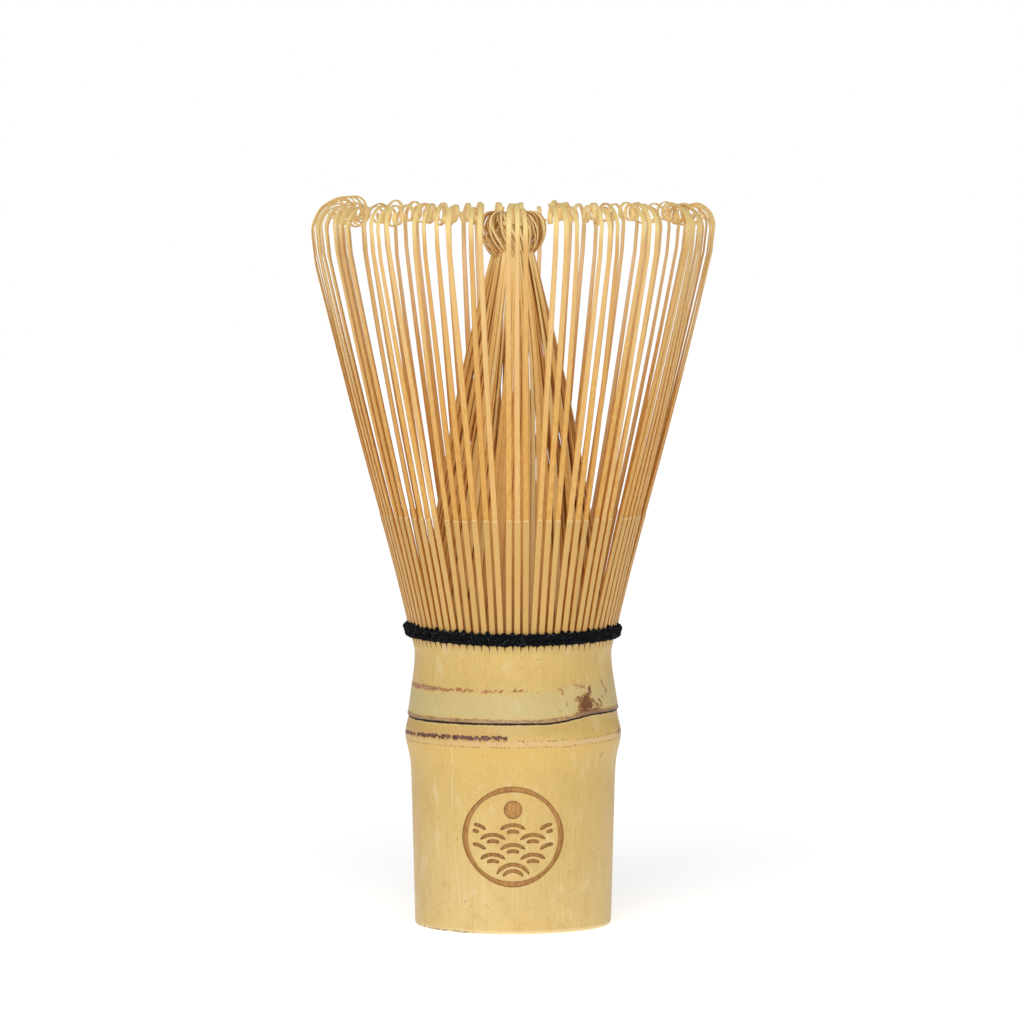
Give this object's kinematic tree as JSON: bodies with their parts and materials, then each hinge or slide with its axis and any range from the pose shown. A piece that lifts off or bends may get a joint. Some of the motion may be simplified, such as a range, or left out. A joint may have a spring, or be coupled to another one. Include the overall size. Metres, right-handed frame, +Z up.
{
  "type": "bamboo tea whisk",
  "caption": "Tea whisk carved from one bamboo culm: hollow handle, swollen node, thread-bound neck, flared curled outer tines round a gathered inner cone.",
  "frame": {"origin": "centre of the handle's foot, on the surface it stands on", "axes": "+Z up the culm's axis to the tips, carved crest facing -Y"},
  "size_m": [0.0618, 0.062, 0.1113],
  "materials": {
    "bamboo_skin": "satin",
    "bamboo_node": "satin",
    "bamboo_pith": "matte",
    "outer_tine_bamboo": "satin",
    "inner_tine_bamboo": "satin",
    "cotton_thread": "matte"
  },
  "bodies": {
    "culm": {"handle": "bamboo_skin", "node_ring": "bamboo_node", "node_diaphragm": "bamboo_pith", "tine_collar": "bamboo_skin", "thread_lower_braid": "cotton_thread", "thread_upper_braid": "cotton_thread", "thread_knot": "cotton_thread"},
    "outer_stave_01": {"outer_tines_01": "outer_tine_bamboo"},
    "outer_stave_02": {"outer_tines_02": "outer_tine_bamboo"},
    "outer_stave_03": {"outer_tines_03": "outer_tine_bamboo"},
    "outer_stave_04": {"outer_tines_04": "outer_tine_bamboo"},
    "outer_stave_05": {"outer_tines_05": "outer_tine_bamboo"},
    "outer_stave_06": {"outer_tines_06": "outer_tine_bamboo"},
    "outer_stave_07": {"outer_tines_07": "outer_tine_bamboo"},
    "outer_stave_08": {"outer_tines_08": "outer_tine_bamboo"},
    "outer_stave_09": {"outer_tines_09": "outer_tine_bamboo"},
    "outer_stave_10": {"outer_tines_10": "outer_tine_bamboo"},
    "outer_stave_11": {"outer_tines_11": "outer_tine_bamboo"},
    "outer_stave_12": {"outer_tines_12": "outer_tine_bamboo"},
    "outer_stave_13": {"outer_tines_13": "outer_tine_bamboo"},
    "outer_stave_14": {"outer_tines_14": "outer_tine_bamboo"},
    "outer_stave_15": {"outer_tines_15": "outer_tine_bamboo"},
    "outer_stave_16": {"outer_tines_16": "outer_tine_bamboo"},
    "inner_stave_01": {"inner_tines_01": "inner_tine_bamboo"},
    "inner_stave_02": {"inner_tines_02": "inner_tine_bamboo"},
    "inner_stave_03": {"inner_tines_03": "inner_tine_bamboo"},
    "inner_stave_04": {"inner_tines_04": "inner_tine_bamboo"},
    "inner_stave_05": {"inner_tines_05": "inner_tine_bamboo"},
    "inner_stave_06": {"inner_tines_06": "inner_tine_bamboo"},
    "inner_stave_07": {"inner_tines_07": "inner_tine_bamboo"},
    "inner_stave_08": {"inner_tines_08": "inner_tine_bamboo"},
    "inner_stave_09": {"inner_tines_09": "inner_tine_bamboo"},
    "inner_stave_10": {"inner_tines_10": "inner_tine_bamboo"},
    "inner_stave_11": {"inner_tines_11": "inner_tine_bamboo"},
    "inner_stave_12": {"inner_tines_12": "inner_tine_bamboo"},
    "inner_stave_13": {"inner_tines_13": "inner_tine_bamboo"},
    "inner_stave_14": {"inner_tines_14": "inner_tine_bamboo"},
    "inner_stave_15": {"inner_tines_15": "inner_tine_bamboo"},
    "inner_stave_16": {"inner_tines_16": "inner_tine_bamboo"}
  },
  "joints": [
    {"name": "outer_flex_01", "type": "hinge", "parent": "culm", "child": "outer_stave_01", "pos_m": [0.0155, 0.00308, 0.0459], "axis": [-0.1951, 0.9808, 0], "range_deg": [-2, 8], "stiffness_Nm_per_rad": 0.012},
    {"name": "outer_flex_02", "type": "hinge", "parent": "culm", "child": "outer_stave_02", "pos_m": [0.01314, 0.00878, 0.0459], "axis": [-0.5556, 0.8315, 0], "range_deg": [-2, 8], "stiffness_Nm_per_rad": 0.012},
    {"name": "outer_flex_03", "type": "hinge", "parent": "culm", "child": "outer_stave_03", "pos_m": [0.00878, 0.01314, 0.0459], "axis": [-0.8315, 0.5556, 0], "range_deg": [-2, 8], "stiffness_Nm_per_rad": 0.012},
    {"name": "outer_flex_04", "type": "hinge", "parent": "culm", "child": "outer_stave_04", "pos_m": [0.00308, 0.0155, 0.0459], "axis": [-0.9808, 0.1951, 0], "range_deg": [-2, 8], "stiffness_Nm_per_rad": 0.012},
    {"name": "outer_flex_05", "type": "hinge", "parent": "culm", "child": "outer_stave_05", "pos_m": [-0.00308, 0.0155, 0.0459], "axis": [-0.9808, -0.1951, 0], "range_deg": [-2, 8], "stiffness_Nm_per_rad": 0.012},
    {"name": "outer_flex_06", "type": "hinge", "parent": "culm", "child": "outer_stave_06", "pos_m": [-0.00878, 0.01314, 0.0459], "axis": [-0.8315, -0.5556, 0], "range_deg": [-2, 8], "stiffness_Nm_per_rad": 0.012},
    {"name": "outer_flex_07", "type": "hinge", "parent": "culm", "child": "outer_stave_07", "pos_m": [-0.01314, 0.00878, 0.0459], "axis": [-0.5556, -0.8315, 0], "range_deg": [-2, 8], "stiffness_Nm_per_rad": 0.012},
    {"name": "outer_flex_08", "type": "hinge", "parent": "culm", "child": "outer_stave_08", "pos_m": [-0.0155, 0.00308, 0.0459], "axis": [-0.1951, -0.9808, 0], "range_deg": [-2, 8], "stiffness_Nm_per_rad": 0.012},
    {"name": "outer_flex_09", "type": "hinge", "parent": "culm", "child": "outer_stave_09", "pos_m": [-0.0155, -0.00308, 0.0459], "axis": [0.1951, -0.9808, 0], "range_deg": [-2, 8], "stiffness_Nm_per_rad": 0.012},
    {"name": "outer_flex_10", "type": "hinge", "parent": "culm", "child": "outer_stave_10", "pos_m": [-0.01314, -0.00878, 0.0459], "axis": [0.5556, -0.8315, 0], "range_deg": [-2, 8], "stiffness_Nm_per_rad": 0.012},
    {"name": "outer_flex_11", "type": "hinge", "parent": "culm", "child": "outer_stave_11", "pos_m": [-0.00878, -0.01314, 0.0459], "axis": [0.8315, -0.5556, 0], "range_deg": [-2, 8], "stiffness_Nm_per_rad": 0.012},
    {"name": "outer_flex_12", "type": "hinge", "parent": "culm", "child": "outer_stave_12", "pos_m": [-0.00308, -0.0155, 0.0459], "axis": [0.9808, -0.1951, 0], "range_deg": [-2, 8], "stiffness_Nm_per_rad": 0.012},
    {"name": "outer_flex_13", "type": "hinge", "parent": "culm", "child": "outer_stave_13", "pos_m": [0.00308, -0.0155, 0.0459], "axis": [0.9808, 0.1951, 0], "range_deg": [-2, 8], "stiffness_Nm_per_rad": 0.012},
    {"name": "outer_flex_14", "type": "hinge", "parent": "culm", "child": "outer_stave_14", "pos_m": [0.00878, -0.01314, 0.0459], "axis": [0.8315, 0.5556, 0], "range_deg": [-2, 8], "stiffness_Nm_per_rad": 0.012},
    {"name": "outer_flex_15", "type": "hinge", "parent": "culm", "child": "outer_stave_15", "pos_m": [0.01314, -0.00878, 0.0459], "axis": [0.5556, 0.8315, 0], "range_deg": [-2, 8], "stiffness_Nm_per_rad": 0.012},
    {"name": "outer_flex_16", "type": "hinge", "parent": "culm", "child": "outer_stave_16", "pos_m": [0.0155, -0.00308, 0.0459], "axis": [0.1951, 0.9808, 0], "range_deg": [-2, 8], "stiffness_Nm_per_rad": 0.012},
    {"name": "inner_bloom_01", "type": "hinge", "parent": "culm", "child": "inner_stave_01", "pos_m": [0.01349, 0.00268, 0.0459], "axis": [-0.1951, 0.9808, 0], "range_deg": [0, 8], "stiffness_Nm_per_rad": 0.006},
    {"name": "inner_bloom_02", "type": "hinge", "parent": "culm", "child": "inner_stave_02", "pos_m": [0.01143, 0.00764, 0.0459], "axis": [-0.5556, 0.8315, 0], "range_deg": [0, 8], "stiffness_Nm_per_rad": 0.006},
    {"name": "inner_bloom_03", "type": "hinge", "parent": "culm", "child": "inner_stave_03", "pos_m": [0.00764, 0.01143, 0.0459], "axis": [-0.8315, 0.5556, 0], "range_deg": [0, 8], "stiffness_Nm_per_rad": 0.006},
    {"name": "inner_bloom_04", "type": "hinge", "parent": "culm", "child": "inner_stave_04", "pos_m": [0.00268, 0.01349, 0.0459], "axis": [-0.9808, 0.1951, 0], "range_deg": [0, 8], "stiffness_Nm_per_rad": 0.006},
    {"name": "inner_bloom_05", "type": "hinge", "parent": "culm", "child": "inner_stave_05", "pos_m": [-0.00268, 0.01349, 0.0459], "axis": [-0.9808, -0.1951, 0], "range_deg": [0, 8], "stiffness_Nm_per_rad": 0.006},
    {"name": "inner_bloom_06", "type": "hinge", "parent": "culm", "child": "inner_stave_06", "pos_m": [-0.00764, 0.01143, 0.0459], "axis": [-0.8315, -0.5556, 0], "range_deg": [0, 8], "stiffness_Nm_per_rad": 0.006},
    {"name": "inner_bloom_07", "type": "hinge", "parent": "culm", "child": "inner_stave_07", "pos_m": [-0.01143, 0.00764, 0.0459], "axis": [-0.5556, -0.8315, 0], "range_deg": [0, 8], "stiffness_Nm_per_rad": 0.006},
    {"name": "inner_bloom_08", "type": "hinge", "parent": "culm", "child": "inner_stave_08", "pos_m": [-0.01349, 0.00268, 0.0459], "axis": [-0.1951, -0.9808, 0], "range_deg": [0, 8], "stiffness_Nm_per_rad": 0.006},
    {"name": "inner_bloom_09", "type": "hinge", "parent": "culm", "child": "inner_stave_09", "pos_m": [-0.01349, -0.00268, 0.0459], "axis": [0.1951, -0.9808, 0], "range_deg": [0, 8], "stiffness_Nm_per_rad": 0.006},
    {"name": "inner_bloom_10", "type": "hinge", "parent": "culm", "child": "inner_stave_10", "pos_m": [-0.01143, -0.00764, 0.0459], "axis": [0.5556, -0.8315, 0], "range_deg": [0, 8], "stiffness_Nm_per_rad": 0.006},
    {"name": "inner_bloom_11", "type": "hinge", "parent": "culm", "child": "inner_stave_11", "pos_m": [-0.00764, -0.01143, 0.0459], "axis": [0.8315, -0.5556, 0], "range_deg": [0, 8], "stiffness_Nm_per_rad": 0.006},
    {"name": "inner_bloom_12", "type": "hinge", "parent": "culm", "child": "inner_stave_12", "pos_m": [-0.00268, -0.01349, 0.0459], "axis": [0.9808, -0.1951, 0], "range_deg": [0, 8], "stiffness_Nm_per_rad": 0.006},
    {"name": "inner_bloom_13", "type": "hinge", "parent": "culm", "child": "inner_stave_13", "pos_m": [0.00268, -0.01349, 0.0459], "axis": [0.9808, 0.1951, 0], "range_deg": [0, 8], "stiffness_Nm_per_rad": 0.006},
    {"name": "inner_bloom_14", "type": "hinge", "parent": "culm", "child": "inner_stave_14", "pos_m": [0.00764, -0.01143, 0.0459], "axis": [0.8315, 0.5556, 0], "range_deg": [0, 8], "stiffness_Nm_per_rad": 0.006},
    {"name": "inner_bloom_15", "type": "hinge", "parent": "culm", "child": "inner_stave_15", "pos_m": [0.01143, -0.00764, 0.0459], "axis": [0.5556, 0.8315, 0], "range_deg": [0, 8], "stiffness_Nm_per_rad": 0.006},
    {"name": "inner_bloom_16", "type": "hinge", "parent": "culm", "child": "inner_stave_16", "pos_m": [0.01349, -0.00268, 0.0459], "axis": [0.1951, 0.9808, 0], "range_deg": [0, 8], "stiffness_Nm_per_rad": 0.006}
  ]
}
